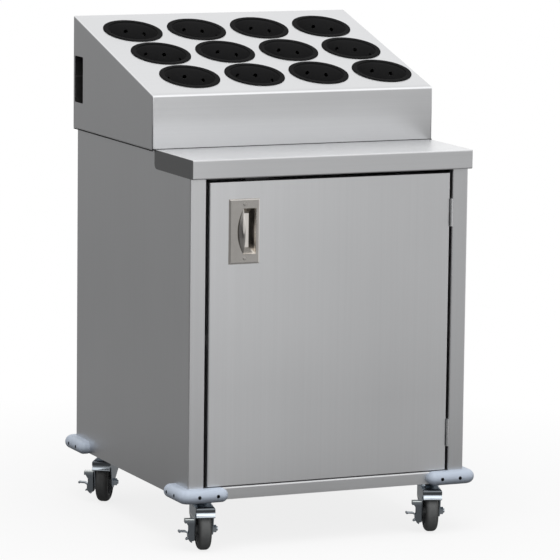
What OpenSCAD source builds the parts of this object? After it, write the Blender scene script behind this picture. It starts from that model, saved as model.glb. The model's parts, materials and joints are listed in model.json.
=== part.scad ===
// Silverware cart: a stainless cabinet on four braked swivel casters, with a counter ledge at the front
// and a sloped hood behind it that holds cutlery cylinders. X runs across the front, the door faces -Y,
// Z is up, and the origin lies on the floor under the middle of the cart.

/* [Cabinet] */
// Width of the cabinet over its side panels
cab_w = 550; // [500:1:640]
// Depth of the cabinet from its posts to its back
cab_d = 563; // [540:1:640]
// Height of the counter above the floor
counter_z = 712.3; // [640:0.1:860]
// Thickness of the stainless sheet
sheet = 1.2; // [0.9:0.1:1.5]
// Outer radius of a sheet bend
bend_r = 2.5; // [2:0.1:4]
// Width of the posts on both sides of the door
post_w = 31; // [28:0.5:38]
// Depth of the posts behind their faces
post_d = 20; // [18:0.5:24]
// Width of the inward flanges along the cabinet's top
top_flange = 10; // [7:0.5:11]
// Height of the bottom rail under the door
rail_h = 23.5; // [20:0.5:32]
// Depth of the header rail behind the door opening
header_d = 42; // [38:1:60]
// Radius of the base pan's front edge
rail_bend = 4; // [2:0.25:6]
// Width of the caster channels under the base pan
channel_w = 80; // [74:1:84]
// Thickness of the caster channels
channel_t = 2; // [1.5:0.1:3]

/* [Counter] */
// Height of the counter's front nosing
nosing_h = 34.5; // [28:0.5:45]
// Overhang of the nosing in front of the posts
nosing_over = 14; // [10:0.5:17]
// Depth of the counter ledge in front of the hood
ledge_d = 182; // [150:1:190]
// Depth of the flange that the counter turns down in front of the hood
ledge_flange = 20; // [14:1:26]
// Radius of the rounded lower corner of the counter's side flanges
flange_r = 10; // [4:1:16]

/* [Hood] */
// Height of the hood's front face above the counter
hood_front_h = 98.2; // [80:0.5:130]
// Angle of the sloped top
slope = 15.8; // [12:0.1:20]
// Overhang of the hood beyond each side panel
hood_side_over = 6.2; // [4:0.1:12]
// Overhang of the hood behind the cabinet
hood_rear_over = 6.5; // [4:0.5:16]
// Outer radius of the crease between the front face and the slope
crease_r = 4; // [3:0.5:8]
// Width of the hood's bottom flanges
hood_flange = 15; // [11:0.5:16]
// Width of the hand slots in the hood's sides
slot_w = 43; // [30:1:60]
// Height of the hand slots
slot_h = 88; // [70:1:100]
// Distance from a hand slot to the hood's rear edge
slot_rear = 7.5; // [6:0.5:20]
// Distance from a hand slot to the hood's lower edge
slot_low = 50; // [40:1:60]

/* [Cutlery cylinders] */
// Columns of cylinders
cup_cols = 4; // [3:1:4]
// Rows of cylinders
cup_rows = 3; // [2:1:3]
// Distance between columns
cup_pitch_x = 129.8; // [118:0.1:130]
// Distance between rows, measured up the slope
cup_pitch_y = 120; // [116:0.5:124]
// Distance from the crease to the middle of the front row
cup_first = 87.5; // [75:0.5:92]
// Sideways step from each row to the row in front of it
cup_row_step = 10.5; // [0:0.5:12]
// Diameter of the rim
cup_rim_d = 113.4; // [106:0.1:114]
// Height of the rim above the slope
cup_rim_h = 4; // [3:0.5:8]
// Diameter of the cup just under its rim
cup_top_d = 99; // [90:0.5:102]
// Diameter of the cup at its base
cup_base_d = 86; // [70:0.5:88]
// Depth of the cup below the slope
cup_h = 133; // [110:1:136]
// Thickness of the cup's wall
cup_wall = 2.5; // [2:0.1:4]
// Clearance between a cup and its hole
cup_clear = 0.8; // [0.5:0.1:2]
// Gap between a rim and the slope
cup_seat = 0.2; // [0.1:0.05:0.3]

/* [Door] */
// Thickness of the door
door_t = 20; // [18:0.5:24]
// Gap between the door and the post on the latch side
latch_gap = 6.5; // [3:0.1:9]
// Gap between the door and the post on the hinge side
hinge_gap = 5.2; // [4.8:0.1:7]
// Gap between the door and the bottom rail
door_gap_low = 1.7; // [1.5:0.1:4]
// Gap between the door and the counter's nosing
door_gap_top = 8.1; // [4:0.1:12]
// Width of the flanges around the door skin's back
door_flange = 14; // [10:1:20]

/* [Pull] */
// Width of the pull's plate
pull_w = 60; // [54:0.5:70]
// Height of the pull's plate
pull_h = 118; // [110:1:140]
// Height of the plate above the door
pull_out = 3; // [2:0.25:5]
// Width of the bevel around the plate
pull_bevel = 3; // [2:0.25:5]
// Distance from the plate to the door's free edge
pull_edge = 37; // [30:1:80]
// Distance from the plate to the door's top edge
pull_top = 30.5; // [25:1:120]
// Width of the finger opening
pocket_w = 25; // [20:0.5:30]
// Height of the finger opening
pocket_h = 83; // [75:0.5:88]
// Depth of the pocket behind the door's face
pocket_d = 13; // [8:0.5:15]
// Distance from the plate's left edge to the finger opening
pocket_x = 27.4; // [26:0.2:30]
// Bulge of the arched grip
grip_out = 11; // [8:0.5:13]

/* [Hinges] */
// Length of a hinge
hinge_h = 51; // [45:1:76]
// Height of the lower hinge above the door's lower edge
hinge_low = 44; // [30:1:120]
// Distance from the upper hinge to the door's top edge
hinge_top = 47; // [30:1:120]
// Radius of the knuckle
knuckle_r = 2.8; // [2.4:0.1:2.9]
// Distance from the pin's axis to the door's face
knuckle_out = 2; // [2:0.1:4]
// Radius of the hinge pin
hinge_pin_r = 1.4; // [1:0.1:1.6]
// Thickness of a hinge leaf
leaf_t = 1.4; // [1:0.1:1.8]
// Depth of a hinge leaf behind the door's face
leaf_d = 16; // [10:0.5:17]

/* [Bumpers] */
// Height of a bumper
bumper_h = 25.5; // [22:0.5:30]
// Reach of a bumper from the cabinet
bumper_out = 21; // [18:0.5:30]
// Length of each leg of a bumper
bumper_leg = 74; // [60:1:100]
// Diameter of the screw recesses
bumper_hole = 6; // [5:0.5:8]

/* [Casters] */
// Height of the cabinet above the floor
caster_h = 93.5; // [92:0.25:110]
// Distance from the cabinet's sides to the kingpins, across
kingpin_in_x = 46; // [44:0.5:52]
// Distance from the cabinet's faces to the kingpins, in depth
kingpin_in_y = 50; // [49:0.5:60]
// Distance from the kingpin to the axle
trail = 30; // [26:0.5:36]
// Diameter of the wheel
wheel_d = 76; // [70:1:77]
// Width of the tyre
tyre_w = 24; // [18:0.5:25]
// Radius of the tyre's rounded edges
tyre_r = 9; // [3:0.5:10]
// Inside width of the fork
fork_in = 30.5; // [27:0.5:34]
// Thickness of the fork's steel
fork_t = 2.5; // [2:0.1:3]
// Side of the square top plate
plate_w = 64; // [60:1:72]
// Thickness of the top plate
plate_t = 3; // [2.5:0.1:4]
// Distance between the plate bolts
bolt_pitch = 45; // [44:0.5:48]
// Radius of the axle
axle_r = 4; // [3:0.25:5]
// Radius of the kingpin
kingpin_r = 5; // [4:0.25:6]
// Length of the brake pedal from the fork
pedal_reach = 27.5; // [24:0.5:40]

/* [Shelf] */
// Height of the shelf above the floor
shelf_z = 390; // [300:1:500]
// Depth of the shelf's turned-down edges
shelf_edge = 20; // [14:1:30]

/* [Hidden] */
$fn = 48;
sliver = 0.01;
fit = 0.05;      // running clearance of a pin in its bore
gap = 0.3;       // gap between faces that move past each other

corner_names = ["front_left", "front_right", "rear_left", "rear_right"];
side_sign = [-1, 1, -1, 1];
end_sign = [-1, -1, 1, 1];
swivel_rest = [-14, -18, -33, -20];   // each caster's angle at rest
function corner_nodes(name) = [for (c = corner_names) str(name, "_", c)];
row_names = ["front", "middle", "back"];
function cup_name(row, col) = str("cylinder_", row_names[row], "_", col + 1);
cup_nodes = [for (row = [0 : cup_rows - 1], col = [0 : cup_cols - 1]) cup_name(row, col)];

steel = "gainsboro";
zinc = "lightsteelblue";
vinyl = "lightsteelblue";
black = "dimgray";

// Cabinet planes
xc = cab_w / 2;
yf = -cab_d / 2;
yr = cab_d / 2;
zb = caster_h;
zt = counter_z - sheet;
open_x = xc - post_w;

// Counter and hood planes
yn = yf - nosing_over;
nosing_z = counter_z - nosing_h;
hood_y0 = yn + ledge_d;
hood_y1 = yr + hood_rear_over;
hood_x = xc + hood_side_over;
crease_z = counter_z + hood_front_h;
hood_top_z = crease_z + (hood_y1 - hood_y0) * tan(slope);
turn = 90 - slope;
crease_c = [hood_y0 + crease_r, crease_z - crease_r * tan(turn / 2)];

// Door planes
door_x0 = -open_x + latch_gap;
door_x1 = open_x - hinge_gap;
door_z0 = zb + rail_h + door_gap_low;
door_z1 = nosing_z - door_gap_top;
door_y1 = yf + door_t;
hinge_x = open_x - hinge_gap / 2;
hinge_y = yf - knuckle_out;
hinge_zs = [door_z0 + hinge_low, door_z1 - hinge_top - hinge_h];

// Pull planes
pull_x0 = door_x0 + pull_edge;
pull_z0 = door_z1 - pull_top - pull_h;
pocket_z0 = pull_z0 + (pull_h - pocket_h) / 2;

plate_edge = 0.4;      // square edge under the plate's bevel
box_wall = 3;          // wall of the pull's box above and below the pocket
box_gap = 1;           // gap between the box and the hole in the door
pocket_ramp = 11;      // rise of the sloped ends of the pocket
pocket_draft = 8;      // slope of its right side
grip_t = 1.5;          // steel of the grip
grip_foot = 0.5;       // depth of the grip's foot in the plate
grip_r = (pow(pocket_h / 2, 2) + grip_out * grip_out) / (2 * grip_out);
screw_d = 4;
screw_head = 1.2;

// Small sizes of the cabinet and its fittings
liner_gap = 1;
slot_r = 3;
cup_lip = 1.5;
shelf_gap = 1;         // gap from the shelf to the panels
shelf_setback = 15;    // distance from the door to the shelf
clip_w = 30;
clip_h = 18;
clip_d = 14;
clip_t = 1.5;
catch_x = -160;
catch_w = 46;
catch_h = 22;
catch_d = 15;
strike_t = 1;
strike_h = 12;
strike_drop = 3;
bumper_z = zb + rail_h - bumper_h / 2;
bumper_screw_at = [0.2, 0.69] * bumper_leg;
bumper_head = 2;
screw_r = 1.6;
recess_y = 11;

// Caster heights
fork_out = fork_in / 2 + fork_t;
wheel_r = wheel_d / 2;
plate_z = zb - plate_t;
plate_corner = 6;
race_h = 7;            // height of the swivel race between plate and fork
race_top_r = 23;
race_low_r = 20;
crown_z = plate_z - race_h;
crown_r = 21;
kingpin_nut_h = 6;
kingpin_nut_r = 9;
nut_z = crown_z - fork_t - gap - kingpin_nut_h;
bolt_r = 3.5;
bolt_hex_r = 6;
bolt_head_h = 5.5;
bolt_end = 2;
fork_rear = 20;
fork_heel = 26;        // height of the fork's legs at the rear
fork_bend = 4;
fork_nose = 6;         // how far the fork's front stays behind the wheel's
fork_front = trail + wheel_r - fork_nose;
nose_r = 5;            // outside of the bend from the crown to the lip
lip_side = 0.5;
lip_h = 9.5;           // height of the lip above its flare
flare_r = 9;           // the lip's lower edge turns outwards
flare_a = 56;
flare_z = crown_z - lip_h;
leg_front = trail + 17.5;
leg_drop = 8;
boss_r = 11;
tread_t = 10;
hub_r = wheel_r - tread_t;
hub_boss_r = axle_r + 5;
hub_rim_r = hub_r - 4;
hub_inset = 2;         // how far the hub's rim stays inside the tyre's side
web_draft = 1;
axle_head_h = 4.5;
axle_head_r = 6.5;
axle_nut_h = 6.5;
axle_nut_r = 7;
axle_end = 9;

// Brake bracket and lever, from the fork's left leg outwards
bracket_t = 2.5;
bracket_low = 5;
cheek_t = 2;
pedal_w = 9;
bracket_front = 51;    // from the kingpin to the front of the bracket
brake_y = -bracket_front + cheek_t + gap + pedal_w / 2;
tab_out = 18;
tab_curl = 5;
tab_rise = 20;
tab_z = wheel_r + tab_rise;
brake_pin_r = 2;
barrel_t = 1.6;
pedal_end_r = 2.3;
brake_pin_out = 7.5;
brake_pin_drop = 12;
brake_x = -fork_out - brake_pin_out;
brake_z = wheel_r - brake_pin_drop;

// Points along an arc about c, from angle a0 to angle a1
function arc(c, r, a0, a1, n = 6) =
    [for (i = [0 : n]) let (a = a0 + (a1 - a0) * i / n) c + r * [cos(a), sin(a)]];

// Extrudes a profile drawn in Y and Z across X, between two x values
module across(x0, x1) translate([x0, 0, 0]) rotate([90, 0, 90]) linear_extrude(x1 - x0) children();

// Extrudes a profile drawn in X and Z along Y, between two y values
module along(y0, y1) translate([0, y1, 0]) rotate([90, 0, 0]) linear_extrude(y1 - y0) children();

// A box between two corners
module block(a, b) translate(a) cube(b - a);

module round_rect(a, b, r) {
    translate(a + [r, 0]) square([b.x - a.x - 2 * r, b.y - a.y]);
    translate(a + [0, r]) square([b.x - a.x, b.y - a.y - 2 * r]);
    for (x = [a.x + r, b.x - r], y = [a.y + r, b.y - r]) translate([x, y]) circle(r);
}

// A closed ring of bent sheet with rounded corners
module sheet_ring(a, b, t, r) {
    difference() {
        round_rect(a, b, r);
        round_rect(a + [t, t], b - [t, t], r - t);
    }
}

// An angle of bent sheet with its corner at the origin and its legs along +X and +Y
module sheet_angle(w, h, t, r) {
    translate([r, 0]) square([w - r, t]);
    translate([0, r]) square([t, h - r]);
    intersection() {
        square(r);
        translate([r, r]) difference() {
            circle(r);
            circle(r - t);
        }
    }
}

// Places its children on the slope, with Y running up it and Z square to it
module on_slope() translate([0, hood_y0, crease_z]) rotate([slope, 0, 0]) children();

module hex_head(r, h) cylinder(r = r, h = h, $fn = 6);

// Cabinet

module side_panel() {
    color(steel) {
        translate([0, 0, zb]) linear_extrude(zt - zb) difference() {
            sheet_ring([-xc, yf], [-open_x, yr], sheet, bend_r);
            translate([-open_x - sheet - sliver, yf + post_d])
                square([sheet + 2 * sliver, cab_d - post_d - sheet]);
            translate([-open_x - bend_r - sliver, yr - bend_r]) square(bend_r + 2 * sliver);
        }
        block([-xc + sheet, yf + post_d, zt - sheet], [-xc + top_flange, yr - 2 * sheet, zt]);
    }
}

module side_panel_left() side_panel();

module side_panel_right() mirror([1, 0, 0]) side_panel();

module back_panel() {
    color(steel) {
        block([-xc + bend_r, yr - 2 * sheet, zb], [xc - bend_r, yr - sheet, zt]);
        block([-xc + top_flange, yr - top_flange, zt - sheet], [xc - top_flange, yr - sheet, zt]);
    }
}

// The pan is narrow between the posts and fills the cabinet behind them
module pan_outline(t) {
    x1 = xc - sheet - t;
    x0 = open_x - t;
    translate([-x0, yf + t]) square([2 * x0, post_d]);
    translate([-x1, yf + post_d + t]) square([2 * x1, cab_d - post_d - 2 * sheet - 2 * t]);
}

module base_pan() {
    color(steel) translate([0, 0, zb]) difference() {
        intersection() {
            linear_extrude(rail_h) pan_outline(0);
            across(-xc, xc) round_rect([yf, -2 * rail_h], [yr + rail_h, rail_h], rail_bend);
        }
        intersection() {
            translate([0, 0, -sliver]) linear_extrude(rail_h - sheet + sliver) pan_outline(sheet);
            across(-xc, xc) round_rect([yf + sheet, -2 * rail_h], [yr + rail_h, rail_h - sheet],
                                       rail_bend - sheet);
        }
    }
}

module caster_channels() {
    channel_y0 = yf + post_d + sheet;
    channel_y1 = yr - 3 * sheet;
    channel_x = xc - kingpin_in_x;
    color(steel) for (s = [-1, 1]) difference() {
        along(channel_y0, channel_y1) difference() {
            translate([s * channel_x - channel_w / 2, zb]) square([channel_w, rail_h - sheet]);
            translate([s * channel_x - channel_w / 2 + channel_t, zb + channel_t])
                square([channel_w - 2 * channel_t, rail_h]);
        }
        for (e = [-1, 1]) translate([s * channel_x, e * (yr - kingpin_in_y), zb]) bolt_pattern()
            cylinder(r = bolt_r + gap, h = 4 * channel_t, center = true);
    }
}

module header_rail() {
    color(steel) across(-open_x, open_x) difference() {
        sheet_ring([yf, nosing_z], [yf + header_d, zt], sheet, bend_r);
        translate([yf + header_d - bend_r, nosing_z + bend_r])
            square([2 * bend_r, zt - nosing_z - 2 * bend_r]);
    }
}

module counter_top() {
    flange_x = xc + sheet;
    color(steel) {
        across(-flange_x, flange_x) difference() {
            sheet_ring([yn, nosing_z], [hood_y0 + bend_r, counter_z], sheet, bend_r);
            translate([yf, nosing_z - sliver]) square([ledge_d, nosing_h - sheet + sliver]);
            translate([hood_y0, nosing_z]) square([2 * bend_r, nosing_h]);
        }
        block([-open_x, hood_y0 - sheet, zt - ledge_flange], [open_x, hood_y0, zt]);
        for (s = [-1, 1]) across(s * (xc + sheet / 2) - sheet / 2, s * (xc + sheet / 2) + sheet / 2) {
            intersection() {
                round_rect([yn, nosing_z], [hood_y0 + bend_r, counter_z], bend_r);
                union() {
                    translate([yn, nosing_z]) square([ledge_d - flange_r, nosing_h]);
                    translate([yn, nosing_z + flange_r]) square([ledge_d, nosing_h - flange_r]);
                    translate([hood_y0 - flange_r, nosing_z + flange_r]) circle(flange_r);
                }
            }
        }
    }
}

module interior_shelf() {
    x = xc - sheet - shelf_gap;
    y0 = door_y1 + shelf_setback;
    y1 = yr - 2 * sheet - shelf_gap;
    color(steel) translate([0, 0, shelf_z - shelf_edge]) difference() {
        block([-x, y0, 0], [x, y1, shelf_edge]);
        block([-x + sheet, y0 + sheet, -sliver], [x - sheet, y1 - sheet, shelf_edge - sheet]);
    }
}

module shelf_clips() {
    color(steel) for (s = [-1, 1], e = [-1, 1])
        translate([s * (xc - sheet), e * cab_d / 3, shelf_z - shelf_edge]) mirror([s > 0 ? 1 : 0, 0, 0]) {
            block([0, -clip_w / 2, -clip_t], [clip_d, clip_w / 2, 0]);
            block([0, -clip_w / 2, -clip_h], [clip_t, clip_w / 2, 0]);
        }
}

// Hood

module hood_top() {
    color(steel) difference() {
        union() {
            across(-hood_x + sheet, hood_x - sheet) polygon(concat(
                [[hood_y0, zt]],
                arc(crease_c, crease_r, 180, 180 - turn),
                [[hood_y1, hood_top_z], [hood_y1, hood_top_z - sheet / cos(slope)]],
                arc(crease_c, crease_r - sheet, 180 - turn, 180),
                [[hood_y0 + sheet, zt]]));
            block([-open_x, hood_y0, zt - ledge_flange], [open_x, hood_y0 + sheet, zt + sliver]);
        }
        on_slope() cup_places() cylinder(d = cup_top_d + 2 * cup_clear, h = 8 * crease_r, center = true);
    }
}

// Puts a child at every cylinder's middle on the slope
module cup_places() for (row = [0 : cup_rows - 1], col = [0 : cup_cols - 1])
    translate(cup_at(row, col)) children();

function cup_at(row, col) = [
    (col - (cup_cols - 1) / 2) * cup_pitch_x + (cup_rows - 1 - row) * cup_row_step,
    cup_first + row * cup_pitch_y, 0];

module hood_side() {
    slot_y1 = hood_y1 - slot_rear;
    slot_z0 = zt + slot_low;
    color(steel) {
        across(-hood_x, -hood_x + sheet) difference() {
            polygon(concat(
                [[hood_y0, zt + bend_r]],
                arc(crease_c, crease_r, 180, 180 - turn),
                [[hood_y1, hood_top_z], [hood_y1, zt + bend_r]]));
            round_rect([slot_y1 - slot_w, slot_z0], [slot_y1, slot_z0 + slot_h], slot_r);
        }
        along(hood_y0 + sheet, hood_y1 - sheet) translate([-hood_x, zt])
            sheet_angle(hood_flange, 2 * bend_r, sheet, bend_r);
    }
}

module hood_side_left() hood_side();

module hood_side_right() mirror([1, 0, 0]) hood_side();

module hood_back() {
    top = hood_top_z - sheet / cos(slope) - sheet * tan(slope);
    x = hood_x - sheet;
    color(steel) {
        block([-x, hood_y1 - sheet, zt], [x, hood_y1, top]);
        block([-hood_x + hood_flange, hood_y1 - hood_flange, zt],
              [hood_x - hood_flange, hood_y1 - sheet, zt + sheet]);
    }
}

// Cutlery cylinders

module cutlery_cylinder() {
    rim_r = cup_rim_d / 2;
    top_r = cup_top_d / 2;
    base_r = cup_base_d / 2;
    color(black) rotate_extrude($fn = 64) polygon([
        [0, -cup_h], [base_r, -cup_h], [top_r, cup_seat], [rim_r, cup_seat],
        [rim_r, cup_rim_h - cup_lip], [rim_r - cup_lip, cup_rim_h], [top_r - cup_wall + cup_lip, cup_rim_h],
        [top_r - cup_wall, cup_rim_h - cup_lip], [base_r - cup_wall, cup_wall - cup_h],
        [0, cup_wall - cup_h]]);
}

// Door

module door_skin() {
    color("silver") difference() {
        union() {
            translate([0, 0, door_z0]) linear_extrude(door_z1 - door_z0) difference() {
                sheet_ring([door_x0, yf], [door_x1, door_y1 - sheet], sheet, bend_r);
                translate([door_x0 + door_flange, door_y1 - 2 * sheet - sliver])
                    square([door_x1 - door_x0 - 2 * door_flange, 3 * sheet]);
            }
            for (z = [door_z0, door_z1 - sheet])
                block([door_x0 + sheet, yf + sheet, z], [door_x1 - sheet, door_y1 - sheet, z + sheet]);
        }
        block([pull_x0 + pull_bevel, yf - sliver, pocket_z0 - box_wall - box_gap],
              [pull_x0 + pull_w - pull_bevel, yf + 2 * sheet, pocket_z0 + pocket_h + box_wall + box_gap]);
    }
}

module door_liner() {
    color(steel) block([door_x0 + liner_gap, door_y1 - sheet, door_z0 + liner_gap],
                       [door_x1 - leaf_t - liner_gap, door_y1, door_z1 - liner_gap]);
}

// Outline of the pull's plate, drawn in by an inset
module pull_plate(inset, y0, y1)
    block([pull_x0 + inset, y0, pull_z0 + inset], [pull_x0 + pull_w - inset, y1, pull_z0 + pull_h - inset]);

module recessed_pull() {
    px = pull_x0 + pocket_x;
    face_y = yf - pull_out;
    rear_y = yf + pocket_d + grip_t;
    back_y = rear_y - grip_t;
    pocket_z1 = pocket_z0 + pocket_h;
    color("gray") difference() {
        union() {
            hull() {
                pull_plate(0, yf - plate_edge, yf);
                pull_plate(pull_bevel, face_y, yf - plate_edge);
            }
            block([pull_x0 + pull_bevel + box_gap, yf - sliver, pocket_z0 - box_wall],
                  [pull_x0 + pull_w - pull_bevel - box_gap, rear_y, pocket_z0 + pocket_h + box_wall]);
            // Arched grip over the left half of the pocket, with its foot let into the plate
            translate([px, face_y + grip_foot, pocket_z0 + pocket_h / 2]) rotate([0, 0, 180])
                rotate_extrude(angle = 90) grip_section(grip_r);
        }
        // Finger opening, with sloped ends and right side, and a hollow under the grip
        intersection() {
            across(px - sliver, px + pocket_w) polygon([
                [face_y - pull_out, pocket_z0], [yf, pocket_z0], [back_y, pocket_z0 + pocket_ramp],
                [back_y, pocket_z1 - pocket_ramp], [yf, pocket_z1], [face_y - pull_out, pocket_z1]]);
            translate([0, 0, pull_z0]) linear_extrude(pull_h) polygon([
                [px - sliver, face_y - 2 * pull_out], [px + pocket_w + sliver, face_y - 2 * pull_out],
                [px + pocket_w + sliver, yf], [px + pocket_w - pocket_draft, back_y + sliver],
                [px - sliver, back_y + sliver]]);
        }
        translate([px, face_y + grip_foot, pocket_z0 + pocket_h / 2])
            rotate_extrude() grip_section(grip_r - grip_t);
        for (z = pull_screw_zs()) translate([pull_x0 + pull_w / 2, yf, z]) rotate([90, 0, 0])
            cylinder(d = screw_d, h = 4 * pull_out, center = true);
    }
}

// Half section of the grip's bulge, a slice of a circle that stands out by grip_out
module grip_section(r) {
    intersection() {
        translate([grip_out - grip_r, 0]) circle(r, $fn = 96);
        translate([0, -pocket_h]) square(2 * pocket_h);
    }
}

function pull_screw_zs() = [
    (pull_z0 + pull_bevel + pocket_z0) / 2, (pull_z0 + pull_h - pull_bevel + pocket_z0 + pocket_h) / 2];

module pull_screws() {
    color(zinc) for (z = pull_screw_zs())
        translate([pull_x0 + pull_w / 2, yf - pull_out, z]) rotate([-90, 0, 0]) {
            cylinder(d = screw_d - 2 * fit, h = pull_out);
            translate([0, 0, -screw_head])
                cylinder(d1 = screw_d, d2 = screw_d + 2 * screw_head, h = screw_head);
        }
}

// One leaf of both hinges. The leaf's own half of the knuckle starts at half = 0 or 1.
module hinge_leaf(side, half, bore_r) {
    leaf_x = side < 0 ? door_x1 : open_x - leaf_t;
    half_h = hinge_h / 2;
    for (z = hinge_zs) difference() {
        union() {
            z0 = z + half * (half_h + gap);
            block([leaf_x, yf + bend_r, z], [leaf_x + leaf_t, yf + leaf_d, z + hinge_h]);
            block([leaf_x, hinge_y, z0], [leaf_x + leaf_t, yf + leaf_d, z + half_h * (1 + half)]);
            translate([hinge_x, hinge_y, z0]) cylinder(r = knuckle_r, h = half_h - half * gap);
        }
        if (bore_r > 0) translate([hinge_x, hinge_y, z + half_h])
            cylinder(r = bore_r, h = 2 * hinge_h, center = true);
    }
}

module hinge_frame_leaves() {
    color(zinc) {
        hinge_leaf(1, 0, 0);
        for (z = hinge_zs) translate([hinge_x, hinge_y, z]) cylinder(r = hinge_pin_r, h = hinge_h);
    }
}

module hinge_door_leaves() color(zinc) hinge_leaf(-1, 1, hinge_pin_r + fit);

// Catch behind the door's top edge, on the latch side

module magnet_catch() {
    y0 = door_y1 + strike_t + gap;
    color("white") block([catch_x, y0, nosing_z - catch_h], [catch_x + catch_w, y0 + catch_d, nosing_z]);
}

module catch_strike() {
    z1 = door_z1 - strike_drop;
    color(zinc) block([catch_x, door_y1, z1 - strike_h], [catch_x + catch_w, door_y1 + strike_t, z1]);
}

// Bumpers

// Half section of a bumper: a flat back at x = 0 and a round nose
module bumper_section() {
    r = bumper_h / 2;
    translate([0, -r]) square([bumper_out - r, bumper_h]);
    intersection() {
        translate([bumper_out - r, 0]) circle(r);
        translate([0, -r]) square([bumper_out, bumper_h]);
    }
}

// One leg along +X from the corner, lying on the face y = 0 and standing out to -Y
module bumper_leg_shape() {
    r = bumper_h / 2;
    straight = bumper_leg - r;
    difference() {
        union() {
            rotate([90, 0, 90]) linear_extrude(straight) mirror([1, 0]) bumper_section();
            translate([straight, 0, 0]) rotate([90, 0, 0]) {
                cylinder(r = r, h = bumper_out - r);
                intersection() {
                    translate([0, 0, bumper_out - r]) sphere(r);
                    translate([0, 0, bumper_out / 2]) cube([bumper_h, bumper_h, bumper_out], center = true);
                }
            }
        }
        for (x = bumper_screw_at) translate([x, 0, 0]) rotate([90, 0, 0]) {
            translate([0, 0, -sliver]) cylinder(r = screw_r + fit, h = bumper_out);
            translate([0, 0, recess_y]) cylinder(d = bumper_hole, h = bumper_out);
        }
    }
}

// Swaps X and Y, so that a leg along the front becomes a leg along the side
module both_legs() {
    children();
    mirror([1, -1, 0]) children();
}

// Places a child drawn for the front left corner of the cabinet at corner i
module at_corner(i) translate([side_sign[i] * xc, end_sign[i] * yr, bumper_z])
    mirror([side_sign[i] > 0 ? 1 : 0, 0, 0]) mirror([0, end_sign[i] > 0 ? 1 : 0, 0]) children();

module bumper(i) {
    color(vinyl) at_corner(i) {
        both_legs() bumper_leg_shape();
        rotate([0, 0, 180]) rotate_extrude(angle = 90) bumper_section();
    }
}

module bumper_screws() {
    color(zinc) for (i = [0 : 3]) at_corner(i) both_legs() for (x = bumper_screw_at)
        translate([x, 0, 0]) rotate([90, 0, 0]) {
            cylinder(r = screw_r, h = recess_y);
            translate([0, 0, recess_y]) cylinder(d = bumper_hole - 2 * gap, h = bumper_head);
        }
}

// Casters. Each is drawn with its kingpin on the Z axis and its wheel towards -Y.

module bolt_pattern() for (x = [-1, 1], y = [-1, 1]) translate([x, y, 0] * bolt_pitch / 2) children();

module at_kingpin(i)
    translate([side_sign[i] * (xc - kingpin_in_x), end_sign[i] * (yr - kingpin_in_y), 0]) children();

module at_caster(i) at_kingpin(i) rotate([0, 0, swivel_rest[i]]) children();

module caster_plates() {
    color(zinc) for (i = [0 : 3]) at_kingpin(i) {
        difference() {
            translate([0, 0, plate_z]) linear_extrude(plate_t)
                round_rect(-[plate_w, plate_w] / 2, [plate_w, plate_w] / 2, plate_corner);
            bolt_pattern() translate([0, 0, plate_z])
                cylinder(r = bolt_r + gap, h = 4 * plate_t, center = true);
        }
        translate([0, 0, crown_z + gap]) cylinder(r1 = race_low_r, r2 = race_top_r, h = race_h - gap);
        translate([0, 0, nut_z]) cylinder(r = kingpin_r, h = plate_z - nut_z);
        translate([0, 0, nut_z]) hex_head(kingpin_nut_r, kingpin_nut_h);
    }
}

module caster_bolts() {
    color(zinc) for (i = [0 : 3]) at_kingpin(i) bolt_pattern() {
        translate([0, 0, plate_z - bolt_head_h]) hex_head(bolt_hex_r, bolt_head_h);
        translate([0, 0, plate_z - sliver])
            cylinder(r = bolt_r, h = plate_t + channel_t + bolt_head_h + bolt_end);
        translate([0, 0, zb + channel_t]) hex_head(bolt_hex_r, bolt_head_h);
    }
}

// Side view of the fork's legs, from the crown down to the axle boss
module fork_side() {
    polygon([
        [fork_rear, crown_z], [-fork_front + nose_r, crown_z], [-fork_front, crown_z - nose_r],
        [-fork_front, flare_z], [-leg_front, flare_z - leg_drop],
        [-trail - boss_r, wheel_r], [-trail + boss_r, wheel_r], [fork_rear, crown_z - fork_heel]]);
    translate([-fork_front + nose_r, crown_z - nose_r]) circle(nose_r);
    translate([-trail, wheel_r]) circle(boss_r);
}

// Front of the fork: the crown's sheet bends down and flares out over the wheel
module fork_lip() {
    w = fork_out - lip_side;
    flare_c = [-fork_front - flare_r, flare_z];
    reach = 2 * (flare_r + fork_t);
    intersection() {
        along(-fork_front - flare_r, 0) round_rect([-fork_out, 0], [fork_out, crown_z], fork_bend);
        union() {
            across(-w, w) intersection() {
                difference() {
                    round_rect([-fork_front, 0], [0, crown_z], nose_r);
                    round_rect([fork_t - fork_front, -nose_r], [nose_r, crown_z - fork_t], nose_r - fork_t);
                }
                translate([-fork_front, flare_z]) square([2 * nose_r, lip_h]);
            }
            across(-w, w) intersection() {
                translate(flare_c) difference() {
                    circle(flare_r + fork_t);
                    circle(flare_r);
                }
                polygon([flare_c, flare_c + [reach, 0], flare_c + reach * [cos(flare_a), -sin(flare_a)]]);
            }
        }
    }
}

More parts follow.
